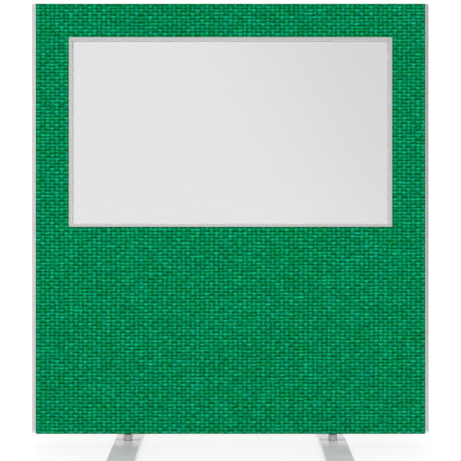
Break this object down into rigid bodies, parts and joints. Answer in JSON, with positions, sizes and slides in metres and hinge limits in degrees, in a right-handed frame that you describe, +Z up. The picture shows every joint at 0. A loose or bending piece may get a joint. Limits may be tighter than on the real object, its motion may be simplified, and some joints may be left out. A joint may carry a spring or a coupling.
{
  "type": "free-standing partition screen",
  "caption": "Free-standing fabric partition screen with a clear upper window, aluminium edge trims and flat swivelling stabiliser feet on levelling glides.",
  "frame": {"origin": "on the floor below the middle of the screen", "axes": "+X to the right as seen from the front, -Y out of the front face, +Z up"},
  "size_m": [1.202, 0.5, 1.34],
  "materials": {
    "timber": "matte",
    "infill": "matte",
    "face_board": "matte",
    "fabric": "matte",
    "bead_aluminium": "satin",
    "trim_aluminium": "satin",
    "pane": "gloss",
    "rubber": "matte",
    "grey_plastic": "satin",
    "silver_paint": "satin",
    "zinc": "satin",
    "nylon": "matte"
  },
  "bodies": {
    "panel": {"left_stile": "timber", "right_stile": "timber", "bottom_rail": "timber", "top_rail": "timber", "window_head": "timber", "window_sill": "timber", "left_window_jamb": "timber", "right_window_jamb": "timber", "lower_infill": "infill", "upper_infill": "infill", "left_infill": "infill", "right_infill": "infill", "front_face_board": "face_board", "back_face_board": "face_board", "fabric_cover": "fabric", "front_bead_top": "bead_aluminium", "front_bead_bottom": "bead_aluminium", "front_bead_left": "bead_aluminium", "front_bead_right": "bead_aluminium", "back_bead_top": "bead_aluminium", "back_bead_bottom": "bead_aluminium", "back_bead_left": "bead_aluminium", "back_bead_right": "bead_aluminium", "window_pane": "pane", "pane_gasket": "rubber", "left_edge_trim": "trim_aluminium", "right_edge_trim": "trim_aluminium", "left_top_cap": "grey_plastic", "right_top_cap": "grey_plastic", "left_bottom_cap": "grey_plastic", "right_bottom_cap": "grey_plastic", "left_trim_screw_1": "zinc", "left_trim_screw_2": "zinc", "left_trim_screw_3": "zinc", "right_trim_screw_1": "zinc", "right_trim_screw_2": "zinc", "right_trim_screw_3": "zinc", "left_mount_plate": "zinc", "right_mount_plate": "zinc", "left_mount_screw_1": "zinc", "left_mount_screw_2": "zinc", "right_mount_screw_1": "zinc", "right_mount_screw_2": "zinc", "left_pivot_bolt": "zinc", "right_pivot_bolt": "zinc", "left_bolt_washer": "zinc", "right_bolt_washer": "zinc", "left_threaded_insert": "zinc", "right_threaded_insert": "zinc", "left_friction_washer": "nylon", "right_friction_washer": "nylon"},
    "left_foot": {"left_foot_plate": "silver_paint", "left_foot_collar": "silver_paint"},
    "right_foot": {"right_foot_plate": "silver_paint", "right_foot_collar": "silver_paint"},
    "left_front_leveller": {"left_front_glide": "nylon"},
    "left_back_leveller": {"left_back_glide": "nylon"},
    "right_front_leveller": {"right_front_glide": "nylon"},
    "right_back_leveller": {"right_back_glide": "nylon"}
  },
  "joints": [
    {"name": "left_foot_swivel", "type": "hinge", "parent": "panel", "child": "left_foot", "pos_m": [-0.311, 0, 0.0125], "axis": [0, 0, 1], "range_deg": [-90, 90]},
    {"name": "right_foot_swivel", "type": "hinge", "parent": "panel", "child": "right_foot", "pos_m": [0.311, 0, 0.0125], "axis": [0, 0, 1], "range_deg": [-90, 90]},
    {"name": "left_front_level", "type": "slide", "parent": "left_foot", "child": "left_front_leveller", "axis": [0, 0, -1], "range_m": [0, 0.005]},
    {"name": "left_back_level", "type": "slide", "parent": "left_foot", "child": "left_back_leveller", "axis": [0, 0, -1], "range_m": [0, 0.005]},
    {"name": "right_front_level", "type": "slide", "parent": "right_foot", "child": "right_front_leveller", "axis": [0, 0, -1], "range_m": [0, 0.005]},
    {"name": "right_back_level", "type": "slide", "parent": "right_foot", "child": "right_back_leveller", "axis": [0, 0, -1], "range_m": [0, 0.005]}
  ]
}
